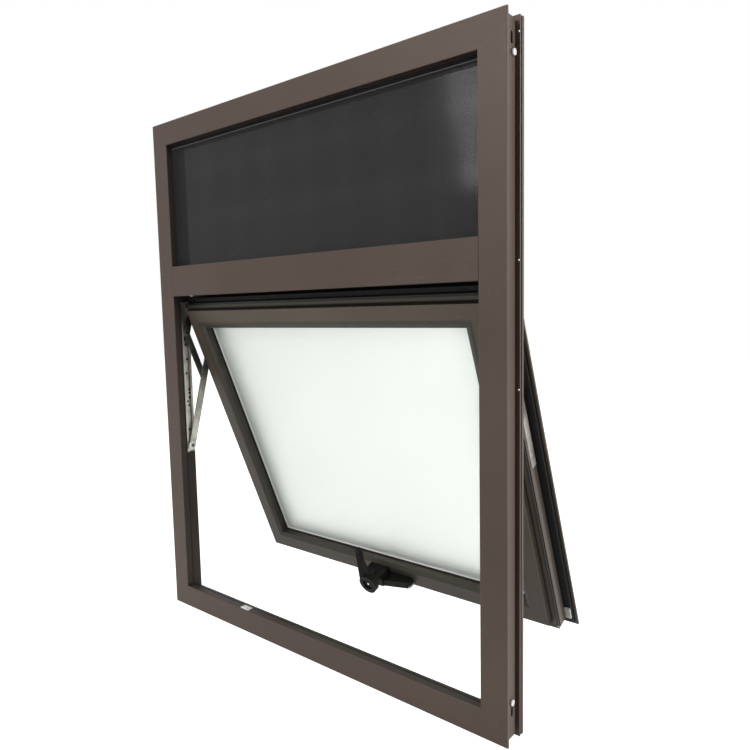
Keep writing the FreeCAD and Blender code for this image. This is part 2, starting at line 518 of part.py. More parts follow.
# Friction stays, one each side: track, shoe, link, long arm, top link and sash bar
TRACK_SECTION_HALF = "(" + s("track_width") + " / 2)"
for side in ("left", "right"):
    sign = "" if side == "right" else "-"

    def across(inside):
        return sign + "(" + REBATE_HALF + " - (" + inside + "))"

    track = doc.addObject("PartDesign::Body", side + "_track_body")
    lip = "%s - %s - %s" % (TRACK_SECTION_HALF, s("track_wall"), s("track_lip"))
    web = "%s - %s" % (TRACK_SECTION_HALF, s("track_wall"))
    under = "%s - %s" % (s("track_height"), s("track_lip_thick"))
    section = [[(across("0"), "%s - %s" % (LINE, TRACK_SECTION_HALF)),
                (across(s("track_height")), "%s - %s" % (LINE, TRACK_SECTION_HALF)),
                (across(s("track_height")), "%s - (%s)" % (LINE, lip)),
                (across(under), "%s - (%s)" % (LINE, lip)),
                (across(under), "%s - (%s)" % (LINE, web)),
                (across(s("track_wall")), "%s - (%s)" % (LINE, web)),
                (across(s("track_wall")), "%s + (%s)" % (LINE, web)),
                (across(under), "%s + (%s)" % (LINE, web)),
                (across(under), "%s + (%s)" % (LINE, lip)),
                (across(s("track_height")), "%s + (%s)" % (LINE, lip)),
                (across(s("track_height")), "%s + %s" % (LINE, TRACK_SECTION_HALF)),
                (across("0"), "%s + %s" % (LINE, TRACK_SECTION_HALF))]]
    channel = outline(track, side + "_track_section", "XY_Plane", section)
    bind(channel, {"AttachmentOffset.Base.z": TRACK_LOW})
    pad(track, channel, "%s - %s" % (CAP_LOW, TRACK_LOW), midplane=False)
    doc.recompute()
    screw_holes = fuse(side + "_track_holes", [
        rod(side + "_track_hole_%d" % step, *span(side, TRACK_TOP, REBATE_HALF + " + 1"), LINE,
            "%s + %s + %d * %s" % (TRACK_LOW, s("track_hole_first"), step, s("track_hole_pitch")),
            s("track_hole_radius"))
        for step in range(4)])
    drilled = cut(side + "_track_drilled", track, screw_holes)
    # the arm's fixed pivot: a boss on the track's floor with a headed pin through the arm
    boss = rod(side + "_root_boss", *span(side, ARM_OUT + " + " + s("plate_gap"),
               REBATE_HALF + " - " + s("track_wall")), LINE, ROOT, s("boss_radius"))
    floor = rod(side + "_root_floor", *span(side, REBATE_HALF + " - 2 * " + s("track_wall"),
                REBATE_HALF), LINE, ROOT, s("boss_radius"))
    pin = rod(side + "_root_pin", *span(side, ARM_IN + " - " + s("plate_gap"),
              REBATE_HALF + " - " + s("track_wall")), LINE, ROOT, s("pin_radius"))
    head = rod(side + "_root_head", *span(side, ARM_IN + " - " + s("plate_gap") + " - "
               + s("head_thick"), ARM_IN + " - " + s("plate_gap")), LINE, ROOT,
               s("head_radius"))
    finish(fuse(side + "_track_item", [drilled, boss, floor, pin, head]), side + "_stay_track")

    # long arm: bored at its root and at the sash, with the pin that carries the link
    hole = "%s + %s" % (s("pin_radius"), s("pin_play"))
    arm_x, arm_dx = span(side, ARM_IN, ARM_OUT)
    half_arm = s("arm_width") + " / 2"
    blade = fuse(side + "_arm_blade", [
        box(side + "_arm_bar", arm_x, arm_dx, LINE + " - " + half_arm, s("arm_width"),
            ROOT, ARM_LENGTH),
        rod(side + "_arm_foot", arm_x, arm_dx, LINE, ROOT, half_arm),
        rod(side + "_arm_tip", arm_x, arm_dx, LINE, SASH_PIVOT_SHUT, half_arm),
        rod(side + "_joint_pin", *span(side, ARM_IN, LINK_OUT), LINE, JOINT_SHUT,
            s("pin_radius"))])
    bores = fuse(side + "_arm_bores", [
        rod(side + "_arm_root_bore", arm_x + " - 1", arm_dx + " + 2", LINE, ROOT, hole),
        rod(side + "_arm_tip_bore", arm_x + " - 1", arm_dx + " + 2", LINE, SASH_PIVOT_SHUT, hole)])
    finish(cut(side + "_arm_item", blade, bores), side + "_stay_arm", ARM_POSE)

    # link: from the long arm's pin up to the shoe
    link_x, link_dx = span(side, LINK_IN, LINK_OUT)
    half_link = s("link_width") + " / 2"
    strip = fuse(side + "_link_strip", [
        box(side + "_link_bar", link_x, link_dx, LINE + " - " + half_link, s("link_width"),
            JOINT_SHUT, s("link_length")),
        rod(side + "_link_foot", link_x, link_dx, LINE, JOINT_SHUT, half_link),
        rod(side + "_link_tip", link_x, link_dx, LINE, SHOE_SHUT, half_link)])
    link_bores = fuse(side + "_link_bores", [
        rod(side + "_link_low_bore", link_x + " - 1", link_dx + " + 2", LINE, JOINT_SHUT, hole),
        rod(side + "_link_high_bore", link_x + " - 1", link_dx + " + 2", LINE, SHOE_SHUT, hole)])
    finish(cut(side + "_link_item", strip, link_bores), side + "_stay_link", LINK_POSE)

    # shoe: a block held under the track's lips, its neck between them, and the link's rivet
    shoe_half = s("shoe_length") + " / 2"
    shoe = fuse(side + "_shoe_item", [
        box(side + "_shoe_block", *span(side, TRACK_TOP + " + " + s("track_lip_thick") + " + "
            + s("shoe_play"), REBATE_HALF + " - " + s("track_wall") + " - " + s("shoe_play")),
            LINE + " - " + s("shoe_width") + " / 2", s("shoe_width"),
            SHOE_SHUT + " - " + shoe_half, s("shoe_length")),
        box(side + "_shoe_neck", *span(side, TRACK_TOP, REBATE_HALF + " - " + s("track_wall")
            + " - " + s("shoe_play")), LINE + " - " + s("shoe_neck") + " / 2", s("shoe_neck"),
            SHOE_SHUT + " - " + shoe_half, s("shoe_length")),
        rod(side + "_shoe_pin", *span(side, ARM_IN, TRACK_TOP + " + " + s("track_lip_thick")),
            LINE, SHOE_SHUT, s("pin_radius"))])
    finish(shoe, side + "_stay_shoe", SHOE_POSE)

    # top link: as long as the arm's end beyond its joint, from the shoe to the sash bar's top
    top_link = cut(side + "_top_link_item", fuse(side + "_top_link_strip", [
        box(side + "_top_link_bar", arm_x, arm_dx, LINE + " - " + half_link, s("link_width"),
            SHOE_SHUT, s("top_link_length")),
        rod(side + "_top_link_foot", arm_x, arm_dx, LINE, SHOE_SHUT, half_link),
        rod(side + "_top_link_tip", arm_x, arm_dx, LINE, TOP_PIVOT_SHUT, half_link)]),
        fuse(side + "_top_link_bores", [
            rod(side + "_top_link_low_bore", arm_x + " - 1", arm_dx + " + 2", LINE, SHOE_SHUT,
                hole),
            rod(side + "_top_link_high_bore", arm_x + " - 1", arm_dx + " + 2", LINE,
                TOP_PIVOT_SHUT, hole)]))
    finish(top_link, side + "_stay_top_link", TOP_LINK_POSE)

    # sash bar: screwed flat to the stile's side, its two pins carry the sash
    bar_x, bar_dx = span(side, SASH_WALL, BAR_FACE)
    half_bar = s("sash_bar_width") + " / 2"
    bar_pieces = [box(side + "_bar_plate", bar_x, bar_dx, LINE + " - " + half_bar,
                      s("sash_bar_width"), SASH_PIVOT_SHUT + " - " + s("sash_bar_below"),
                      s("sash_bar_below") + " + " + s("link_length")),
                  rod(side + "_bar_tip", bar_x, bar_dx, LINE, TOP_PIVOT_SHUT, half_bar)]
    for end, level in (("low", SASH_PIVOT_SHUT), ("high", TOP_PIVOT_SHUT)):
        bar_pieces.append(rod(side + "_bar_pin_" + end, *span(side, SASH_WALL, ARM_OUT), LINE,
                              level, s("pin_radius")))
    finish(fuse(side + "_bar_item", bar_pieces), side + "_sash_bar", SASH_POSE)

    # end cap: closes the track above the shoe's travel
    cap_body = box(side + "_cap_box", *span(side, TRACK_TOP, REBATE_HALF),
                   LINE + " - " + TRACK_SECTION_HALF, s("track_width"), CAP_LOW,
                   TRACK_SECTION_HALF)
    cap_round = rod(side + "_cap_round", *span(side, TRACK_TOP, REBATE_HALF), LINE,
                    CAP_LOW + " + " + TRACK_SECTION_HALF, TRACK_SECTION_HALF)
    finish(fuse(side + "_cap_item", [cap_body, cap_round]), side + "_track_end_cap")

    # corner block at the foot of each stile, on the flange seal beside the side wall
    block_front = FLANGE_DEPTH + " - " + s("foot_seal_thick") + " - " + s("block_depth")
    block_x, block_dx = span(side, SASH_WALL, SASH_WALL + " + " + s("block_reach"))
    block_low = SASH_LOW + " - " + s("block_drop")
    sheet_piece("sash_corner_block_" + side,
                [rectangle(block_x, "(%s) + (%s)" % (block_x, block_dx), block_low,
                           "%s + %s" % (block_low, s("block_height")))],
                block_front, s("block_depth"), SASH_POSE)

# Handle: a housing on the bottom rail, deep under the hub and thin at its toe, a latch at the
# toe, and a lever that rises from its hub and leans back to its tip


def softened(name, base, radius, wanted):
    """Round the straight edges of a piece that the test picks, by their two end points."""
    doc.recompute()
    item = doc.addObject("Part::Fillet", name)
    item.Base = base
    item.Edges = [(index, radius, radius) for index, edge in enumerate(base.Shape.Edges, start=1)
                  if len(edge.Vertexes) == 2 and wanted(*[corner.Point for corner in edge.Vertexes])]
    base.Visibility = False
    return item


SPINDLE_X = s("spindle_x")
SPINDLE_Z = "(" + SASH_LOW + " + " + s("spindle_up") + ")"
HOUSING_LEFT = "(" + SPINDLE_X + " - " + s("handle_base_left") + ")"
HOUSING_RIGHT = "(" + SPINDLE_X + " + " + s("handle_base_right") + ")"
HOUSING_LOW = "(" + SASH_LOW + " + " + s("handle_base_low") + ")"
CROWN = "(" + SASH_FRONT + " - " + s("handle_crown") + ")"
TOE = "(" + SASH_FRONT + " - " + s("handle_toe") + ")"
housing_body = doc.addObject("PartDesign::Body", "housing_body")
housing = outline(housing_body, "housing_side", "XY_Plane", [
    [(HOUSING_LEFT, SASH_FRONT), (HOUSING_RIGHT, SASH_FRONT),
     (HOUSING_RIGHT, plus(TOE, s("handle_toe_break"))),
     (minus(HOUSING_RIGHT, s("handle_toe_break")), TOE),
     (minus(SPINDLE_X, s("handle_crown_break")), CROWN), (HOUSING_LEFT, CROWN)]])
bind(housing, {"AttachmentOffset.Base.z": HOUSING_LOW})
pad(housing_body, housing, s("handle_base_height"), midplane=False)
housing_right = value(HOUSING_RIGHT)
rounded_housing = softened("housing_rounded", housing_body, value(s("handle_corner")),
                           lambda a, b: min(a.x, b.x) > housing_right - 0.01
                           and abs(a.z - b.z) < 0.01)
NECK_TOP = "(" + CROWN + " - " + s("handle_neck") + ")"
LEVER_BACK = "(" + NECK_TOP + " - " + s("lever_play") + ")"
LEVER_FRONT = "(" + LEVER_BACK + " - " + s("hub_thick") + ")"
DISH = "(" + LEVER_FRONT + " + " + s("spindle_dish") + ")"
spindle = peg("handle_spindle", SPINDLE_X, DISH, NECK_TOP + " - " + DISH + " + " + WALL, SPINDLE_Z,
              s("spindle_radius"))
neck = peg("handle_neck_post", SPINDLE_X, NECK_TOP, s("handle_neck") + " + " + s("handle_neck_seat"),
           SPINDLE_Z, s("handle_neck_radius"))


def latch_shape(name):
    """A pin at the toe of the housing with its narrower tip, for the pin and for its seat."""
    across, up = minus(HOUSING_RIGHT, s("latch_inset")), plus(HOUSING_LOW, s("latch_inset"))
    pin_front = minus(SASH_FRONT, s("latch_depth"))
    return fuse(name, [
        peg(name + "_pin", across, pin_front, s("latch_depth"), up, s("latch_radius")),
        peg(name + "_tip", across, pin_front + " - " + s("latch_tip"),
            s("latch_tip") + " + " + s("latch_inset"), up, s("latch_tip_radius"))])


head = box("housing_head", HOUSING_LEFT, s("handle_base_left") + " + " + s("handle_head_right"),
           CROWN, s("handle_crown"), HOUSING_LOW, s("handle_head_height"))
seated_housing = cut("housing_seated", rounded_housing, latch_shape("latch_seat"))
finish(fuse("handle_base_item", [seated_housing, head, neck, spindle]), "handle_base", SASH_POSE)
finish(latch_shape("latch_item"), "handle_latch", SASH_POSE)

grip = doc.addObject("Part::Wedge", "lever_grip")
grip.Placement = FreeCAD.Placement(FreeCAD.Vector(), FreeCAD.Rotation(FreeCAD.Vector(1, 0, 0), 90))
bind(grip, {
    "Xmin": SPINDLE_X + " - " + s("hub_radius"), "Xmax": SPINDLE_X + " + " + s("hub_radius"),
    "X2min": "%s - %s - %s" % (SPINDLE_X, s("lever_sweep"), s("tip_radius")),
    "X2max": SPINDLE_X,
    "Ymin": SPINDLE_Z, "Ymax": SPINDLE_Z + " + " + s("lever_rise"),
    "Zmin": "-" + LEVER_BACK, "Zmax": "-" + LEVER_FRONT,
    "Z2min": "-%s - %s - %s" % (LEVER_FRONT, s("lever_lean"), s("lever_thick")),
    "Z2max": "-%s - %s" % (LEVER_FRONT, s("lever_lean")),
})
grip_front = -value(LEVER_FRONT)
grip_left = value(SPINDLE_X) - value(s("hub_radius"))
beveled_grip = softened("lever_beveled", grip, value(s("lever_bevel")),
                        lambda a, b: abs(a.z - b.z) > 1
                        and max(a.x, b.x) < grip_left + 0.01
                        and max(-a.y, -b.y) > grip_front - 0.01)
hollow = peg("lever_hollow", "%s + %s" % (SPINDLE_X, s("lever_hollow_x")),
             LEVER_FRONT + " - 1", "%s - %s + 2" % (SASH_FRONT, LEVER_FRONT),
             SPINDLE_Z + " + " + s("lever_hollow_up"), s("lever_hollow"))
lever_solid = fuse("lever_solid", [
    cut("lever_waisted", beveled_grip, hollow),
    peg("lever_hub", SPINDLE_X, LEVER_FRONT, s("hub_thick"), SPINDLE_Z, s("hub_radius")),
    peg("lever_tip", SPINDLE_X + " - " + s("lever_sweep"), LEVER_FRONT + " + " + s("lever_lean"),
        s("lever_thick"), SPINDLE_Z + " + " + s("lever_rise"), s("tip_radius"))])
lever_cuts = fuse("lever_cuts", [
    peg("lever_dish", SPINDLE_X, LEVER_FRONT + " - 1", s("spindle_dish") + " + 1", SPINDLE_Z,
        s("dish_radius")),
    peg("lever_neck_room", SPINDLE_X, LEVER_BACK, s("handle_neck"), SPINDLE_Z,
        s("handle_neck_radius") + " + " + s("pin_play")),
    peg("lever_bore", SPINDLE_X, LEVER_FRONT + " - 1", s("hub_thick") + " + 2", SPINDLE_Z,
        s("spindle_radius") + " + " + s("pin_play"))])
finish(cut("lever_item", lever_solid, lever_cuts), "handle_lever", SASH_POSE)

# Keeper on the sill's stop leg, with its upturned tongue
keeper = fuse("keeper_item", [
    box("keeper_plate", s("keeper_x") + " - " + s("keeper_width") + " / 2", s("keeper_width"),
        s("keeper_inset"), s("keeper_depth"), s("frame_face"), s("keeper_thick")),
    box("keeper_foot", s("keeper_x") + " - " + s("keeper_width") + " / 4",
        s("keeper_width") + " / 2", s("keeper_inset"), s("keeper_tongue"), s("frame_face"),
        s("keeper_thick") + " + " + s("keeper_tongue"))])
finish(keeper, "sill_keeper")

doc.recompute()
faults = [item.Label for item in doc.Objects if "Invalid" in item.State or "Error" in item.State]
for item in finished:
    if item.Shape.isNull() or not item.Shape.isValid() or not item.Shape.Solids:
        faults.append(item.Label + " has no valid solid")
if faults:
    raise RuntimeError("failed: " + ", ".join(faults))
for item in finished:
    item.Shape.exportStep("parts/" + item.Label + ".step")
    bounds = item.Shape.BoundBox
    print("%-24s %d solid(s) %9.0f mm3  x %7.1f %7.1f  y %6.1f %6.1f  z %6.1f %6.1f" % (
        item.Label, len(item.Shape.Solids), item.Shape.Volume, bounds.XMin, bounds.XMax,
        bounds.YMin, bounds.YMax, bounds.ZMin, bounds.ZMax))
print(len(finished), "sub-parts")
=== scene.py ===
"""Looks of the top hung awning window: finishes, insect mesh, glass, screws, gaskets and light."""
import json
import math

import bmesh
import bpy
from mathutils import Matrix, Vector


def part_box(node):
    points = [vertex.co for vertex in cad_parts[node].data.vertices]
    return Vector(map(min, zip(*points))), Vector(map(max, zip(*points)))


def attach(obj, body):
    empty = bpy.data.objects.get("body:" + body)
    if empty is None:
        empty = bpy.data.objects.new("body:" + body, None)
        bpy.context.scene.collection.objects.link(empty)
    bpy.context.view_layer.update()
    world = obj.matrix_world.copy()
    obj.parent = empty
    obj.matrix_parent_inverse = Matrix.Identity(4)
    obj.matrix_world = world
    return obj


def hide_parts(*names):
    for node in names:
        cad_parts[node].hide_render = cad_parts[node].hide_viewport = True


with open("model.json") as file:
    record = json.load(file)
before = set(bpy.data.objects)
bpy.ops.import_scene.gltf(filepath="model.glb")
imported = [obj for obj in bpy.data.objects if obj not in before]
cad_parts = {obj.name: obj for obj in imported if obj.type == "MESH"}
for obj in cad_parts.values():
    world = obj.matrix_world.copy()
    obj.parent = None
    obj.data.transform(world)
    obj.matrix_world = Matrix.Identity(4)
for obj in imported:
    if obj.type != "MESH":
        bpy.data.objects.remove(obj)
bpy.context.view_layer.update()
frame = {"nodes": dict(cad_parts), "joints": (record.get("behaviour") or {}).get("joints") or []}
NODES = frame["nodes"]
MM = 0.001

# The sash's own directions: x across, s up along the sash, d outdoors from its room face.
# PIVOT is the joint between arm and sash in the whole window's coordinates, in metres.
OPEN_ANGLE = math.radians(21.6)
TURN_SIN = math.sin(OPEN_ANGLE)
TURN_COS = math.cos(OPEN_ANGLE)
SWING = next(joint for joint in frame["joints"] if joint["name"] == "sash_swing")
PIVOT = Vector(SWING["pos_m"])
PIVOT_UP = 401 * MM
PIVOT_DEEP = 23 * MM


def on_sash(x, s, d):
    """A point of the open sash, in the whole window's coordinates. All are in metres."""
    y = d - PIVOT_DEEP
    z = s - PIVOT_UP
    return Vector((x, PIVOT.y + y * TURN_COS - z * TURN_SIN,
                   PIVOT.z + y * TURN_SIN + z * TURN_COS))


def in_frame(x, height, deep):
    """A point of the fixed frame, in the same order of arguments as on_sash."""
    return Vector((x, deep, height))


SASH_OUT = Vector((0, TURN_COS, TURN_SIN))

# Shifts that turn the window's directions into the sash's own s and d
TO_UP = PIVOT_UP + PIVOT.y * TURN_SIN - PIVOT.z * TURN_COS
TO_DEEP = PIVOT_DEEP - PIVOT.y * TURN_COS - PIVOT.z * TURN_SIN


def linear(red, green, blue):
    """A colour written as it shows on a screen, 0 to 255, as linear light."""
    def channel(level):
        level = level / 255
        return level / 12.92 if level <= 0.04045 else ((level + 0.055) / 1.055) ** 2.4
    return (channel(red), channel(green), channel(blue), 1)


def scaled(colour, factor):
    """A colour made lighter or darker, no brighter than white."""
    return tuple(min(1, channel * factor) for channel in colour[:3]) + (1,)


# Node trees

class Tree:
    """Short names for building a node tree."""

    def __init__(self, tree, output):
        self.tree = tree
        self.tree.nodes.clear()
        self.out = self.add(output)

    def add(self, kind, **settings):
        node = self.tree.nodes.new(kind)
        for key, value in settings.items():
            setattr(node, key, value)
        return node

    def link(self, source, target):
        self.tree.links.new(source, target)

    def feed(self, value, target):
        """Links another node's output to a socket, or sets the socket's constant."""
        if hasattr(value, "is_output"):
            self.link(value, target)
        else:
            target.default_value = value

    def math(self, operation, first, second=0.0):
        node = self.add("ShaderNodeMath", operation=operation)
        self.feed(first, node.inputs[0])
        self.feed(second, node.inputs[1])
        return node.outputs["Value"]

    def seen_directly(self):
        """1 for rays from the camera, a mirror or through glass, which then see plain white."""
        path = self.add("ShaderNodeLightPath")
        either = self.math("MAXIMUM", path.outputs["Is Camera Ray"], path.outputs["Is Glossy Ray"])
        return self.math("MAXIMUM", either, path.outputs["Is Transmission Ray"])


class Nodes(Tree):
    """A material with one principled shader."""

    def __init__(self, name):
        self.material = bpy.data.materials.new(name)
        self.material.use_nodes = True
        super().__init__(self.material.node_tree, "ShaderNodeOutputMaterial")
        self.shader = self.add("ShaderNodeBsdfPrincipled")
        self.link(self.shader.outputs["BSDF"], self.out.inputs["Surface"])
        coordinates = self.add("ShaderNodeTexCoord")
        self.place = coordinates.outputs["Object"]
        self.normal = coordinates.outputs["Normal"]

    def set(self, **values):
        for key, value in values.items():
            self.shader.inputs[key.replace("_", " ")].default_value = value

    def stretched(self, scale):
        mapping = self.add("ShaderNodeMapping")
        mapping.inputs["Scale"].default_value = scale
        self.link(self.place, mapping.inputs["Vector"])
        return mapping.outputs["Vector"]

    def noise(self, scale, detail=3.0, stretch=(1, 1, 1), roughness=0.5):
        node = self.add("ShaderNodeTexNoise")
        node.inputs["Scale"].default_value = scale
        node.inputs["Detail"].default_value = detail
        node.inputs["Roughness"].default_value = roughness
        self.link(self.stretched(stretch), node.inputs["Vector"])
        return node.outputs["Fac"]

    def ramp(self, source, low, high, at=(0.3, 0.7)):
        """A colour that goes from low to high between two levels of the source."""
        node = self.add("ShaderNodeValToRGB")
        for element, position, colour in zip(node.color_ramp.elements, at, (low, high)):
            element.position = position
            element.color = colour
        self.link(source, node.inputs["Fac"])
        return node.outputs["Color"]

    def levels(self, source, low, high, at=(0.3, 0.7)):
        return self.ramp(source, (low, low, low, 1), (high, high, high, 1), at)

    def mix(self, factor, first, second):
        node = self.add("ShaderNodeMix", data_type="RGBA")
        for name, value in (("Factor", factor), ("A", first), ("B", second)):
            sockets = [item for item in node.inputs if item.name == name and item.enabled]
            self.feed(value, sockets[0])
        return [item for item in node.outputs if item.enabled][0]

    def parts(self, vector):
        node = self.add("ShaderNodeSeparateXYZ")
        self.link(vector, node.inputs["Vector"])
        return node.outputs["X"], node.outputs["Y"], node.outputs["Z"]

    def sash_place(self):
        """The sash's own directions: across, outdoors and up along the sash, in metres."""
        turned = self.add("ShaderNodeMapping")
        turned.inputs["Rotation"].default_value = (-OPEN_ANGLE, 0, 0)
        turned.inputs["Location"].default_value = (0, TO_DEEP, TO_UP)
        self.link(self.place, turned.inputs["Vector"])
        return self.parts(turned.outputs["Vector"])

    def mapped(self, value, span, result=(0.0, 1.0), **settings):
        """The value's way through the span, as a level between the two results."""
        node = self.add("ShaderNodeMapRange", **settings)
        names = ("From Min", "From Max", "To Min", "To Max")
        for name, level in zip(names, span + result):
            node.inputs[name].default_value = level
        self.link(value, node.inputs["Value"])
        return node.outputs["Result"]

    def bands(self, value, low, high, stops):
        """A colour that follows the stops, each a level from low to high and its colour."""
        way = self.mapped(value, (low, high))
        ramp = self.add("ShaderNodeValToRGB")
        elements = ramp.color_ramp.elements
        while len(elements) < len(stops):
            elements.new(0.5)
        for element, (level, colour) in zip(elements, stops):
            element.position = (level - low) / (high - low)
            element.color = colour
        self.link(way, ramp.inputs["Fac"])
        return ramp.outputs["Color"]

    def times(self, first, second):
        return self.math("MULTIPLY", first, second)

    def within(self, value, low, high):
        """1 where the value lies between low and high, else 0."""
        return self.times(self.math("GREATER_THAN", value, low),
                          self.math("LESS_THAN", value, high))

    def bump(self, source, strength, distance):
        node = self.add("ShaderNodeBump")
        node.inputs["Strength"].default_value = strength
        node.inputs["Distance"].default_value = distance
        self.link(source, node.inputs["Height"])
        self.link(node.outputs["Normal"], self.shader.inputs["Normal"])


# Bronze aluminium: its colours, and the places of the painted shade in its grooves, in metres

BRONZE = linear(82, 68, 61)
BRONZE_DEEP = linear(73, 60, 53)
SASH_BRONZE = linear(84, 75, 65)
SASH_DEEP = linear(73, 64, 55)
# Colour of the painted shade towards the sash's foot
SASH_FOOT_SHADE = linear(56, 50, 43)
# The beads' bronze is painted darker than the sash's, as painted shade on their sloped faces
SHADED_BEAD_BRONZE = linear(66, 62, 54)
SHADED_BEAD_DEEP = linear(54, 51, 45)
REVEAL_SHADE = linear(26, 22, 19)
DUST = linear(138, 130, 124)
SCRATCH = linear(150, 143, 137)
SCRATCH_STRENGTH = 0.22
UPRIGHT_GRAIN = (22, 22, 1)
LEVEL_GRAIN = (1, 22, 22)

FACE_EDGE = 0.0008
RAIL_LIP = 0.4795
RAIL_LIP_DEEP = 0.012
RAIL_INNER = 0.47
RAIL_INNER_DEEP = 0.034
# Painted shade across the top rail's upper groove: rows of dark colour, with a less dark stripe on
# the lip
RAIL_SHADE_ROWS = ((0.479, linear(22, 20, 16)), (0.4812, linear(26, 24, 20)),
             (0.4824, linear(74, 69, 60)), (0.4855, linear(66, 63, 55)),
             (0.4868, linear(17, 17, 14)))
RAIL_SHADE_ROWS_TOP = 0.490
# Painted shade: black over the rail's inner groove
RAIL_SHADE_BLACK = linear(17, 17, 14)
STILE_LIP = 0.2796
STILE_LIP_DEEP = 0.014
# Painted shade across the stiles' outer lip, in rows of colour
STILE_SHADE_ROWS = ((0.278, linear(48, 43, 37)), (0.2812, linear(46, 41, 35)),
              (0.2822, linear(76, 71, 62)), (0.2855, linear(70, 65, 57)),
              (0.2872, linear(40, 36, 32)), (0.291, linear(34, 30, 26)))
# Painted shade along the stiles' side faces, with a painted highlight in the lighter rows
SIDE_LIGHT_SHADE_ROWS = ((0.013, linear(52, 47, 42)), (0.0165, linear(96, 89, 83)),
             (0.022, linear(90, 83, 76)), (0.0235, linear(66, 60, 53)),
             (0.031, linear(52, 47, 41)))
SIDE_LIGHT_SHADE_ROWS_END = 0.034
SIDE_FACE = (0.2885, 0.2905)
SIDE_DEEP = (0.014, 0.0325)
SEAT_SIDE = (0.2885, 0.3003)
SEAT_DEEP = (0.0325, 0.0395)
# Painted shade: black on the glass seat at the stiles' sides
SEAT_SHADE_BLACK = linear(20, 19, 17)
# Where the painted shade towards the foot fades out, and how strong it gets
FADE_SPAN = (0.32, 0.02)
FADE_MOST = 0.8
REVEAL_HALF = 0.305
REVEAL_SPAN = (0.018, 0.782)


def rail_painted_shade(nodes, lit):
    """Painted shade in the groove along the top rail's upper edge."""
    _, deep, up = nodes.sash_place()
    groove = nodes.times(nodes.math("GREATER_THAN", up, RAIL_LIP),
                         nodes.within(deep, FACE_EDGE, RAIL_LIP_DEEP))
    rows = nodes.bands(up, RAIL_SHADE_ROWS[0][0], RAIL_SHADE_ROWS_TOP, RAIL_SHADE_ROWS)
    inner = nodes.times(nodes.math("GREATER_THAN", up, RAIL_INNER),
                        nodes.within(deep, RAIL_LIP_DEEP, RAIL_INNER_DEEP))
    return nodes.mix(inner, nodes.mix(groove, lit, rows), RAIL_SHADE_BLACK)


def foot_painted_shade(nodes, lit):
    """Painted shade: the sash is a little darker towards its foot."""
    _, _, up = nodes.sash_place()
    return nodes.mix(nodes.mapped(up, FADE_SPAN, (0.0, FADE_MOST)), lit, SASH_FOOT_SHADE)


def stile_painted_light_and_shade(nodes, lit):
    """Painted shade in the grooves along the stiles' outer edges and a painted highlight along
    their sides, on top of the painted shade towards the foot.
    """
    lit = foot_painted_shade(nodes, lit)
    across, deep, _ = nodes.sash_place()
    outward = nodes.math("ABSOLUTE", across)
    rows = nodes.bands(outward, STILE_SHADE_ROWS[0][0], STILE_SHADE_ROWS[-1][0], STILE_SHADE_ROWS)
    lip = nodes.times(nodes.math("GREATER_THAN", outward, STILE_LIP),
                      nodes.within(deep, FACE_EDGE, STILE_LIP_DEEP))
    along_side = nodes.bands(deep, SIDE_LIGHT_SHADE_ROWS[0][0], SIDE_LIGHT_SHADE_ROWS_END, SIDE_LIGHT_SHADE_ROWS)
    side = nodes.times(nodes.within(outward, *SIDE_FACE), nodes.within(deep, *SIDE_DEEP))
    seat = nodes.times(nodes.within(outward, *SEAT_SIDE), nodes.within(deep, *SEAT_DEEP))
    shaded = nodes.mix(side, nodes.mix(lip, lit, rows), along_side)
    return nodes.mix(seat, shaded, SEAT_SHADE_BLACK)


def reveal_shade_mask(nodes):
    """1 on the faces that look sideways, up or down into the frame's own openings, where shade is
    painted.
    """
    across, _, up = nodes.parts(nodes.place)
    _, facing, _ = nodes.parts(nodes.normal)
    sideways = nodes.math("LESS_THAN", nodes.math("ABSOLUTE", facing), 0.5)
    inside = nodes.times(nodes.math("LESS_THAN", nodes.math("ABSOLUTE", across), REVEAL_HALF),
                         nodes.within(up, *REVEAL_SPAN))
    return nodes.times(sideways, inside)


def anodised(name, colour, shade, grain, reveal=0.0, grooves=None):
    """Bronze aluminium: satin, with a fine draw grain along the length, faint cloudiness, pale
    dust and a few hair scratches. A reveal above 0 paints shade on the faces that look into
    the frame's own openings, and grooves is the function that paints shade on the sash's profile,
    with a highlight too on the stiles."""
    nodes = Nodes(name)
    cloud = nodes.noise(7, detail=4)
    fine = nodes.noise(60, stretch=grain, roughness=0.65)
    specks = nodes.noise(420, detail=2, roughness=0.8)
    hair = nodes.noise(9, detail=2, stretch=tuple(item * 3 for item in grain), roughness=0.3)
    worn = nodes.levels(nodes.noise(5, detail=1), 0, 1, at=(0.56, 0.64))
    base = nodes.ramp(cloud, shade, colour, at=(0.25, 0.75))
    base = nodes.mix(nodes.levels(fine, 0, 0.3, at=(0.45, 0.8)), base, scaled(colour, 1.3))
    base = nodes.mix(nodes.levels(specks, 0, 0.3, at=(0.72, 0.8)), base, DUST)
    scratches = nodes.times(nodes.within(hair, 0.497, 0.503), worn)
    base = nodes.mix(nodes.times(scratches, SCRATCH_STRENGTH), base, SCRATCH)
    # Painted shade on the faces that look into the frame's openings, as strong as reveal
    if reveal:
        base = nodes.mix(nodes.times(reveal_shade_mask(nodes), reveal), base, REVEAL_SHADE)
    if grooves:
        base = grooves(nodes, base)
    nodes.link(base, nodes.shader.inputs["Base Color"])
    nodes.link(nodes.levels(fine, 0.38, 0.54), nodes.shader.inputs["Roughness"])
    nodes.set(Metallic=0.2, Specular_IOR_Level=0.24)
    nodes.bump(fine, strength=0.12, distance=0.0002)
    return nodes.material


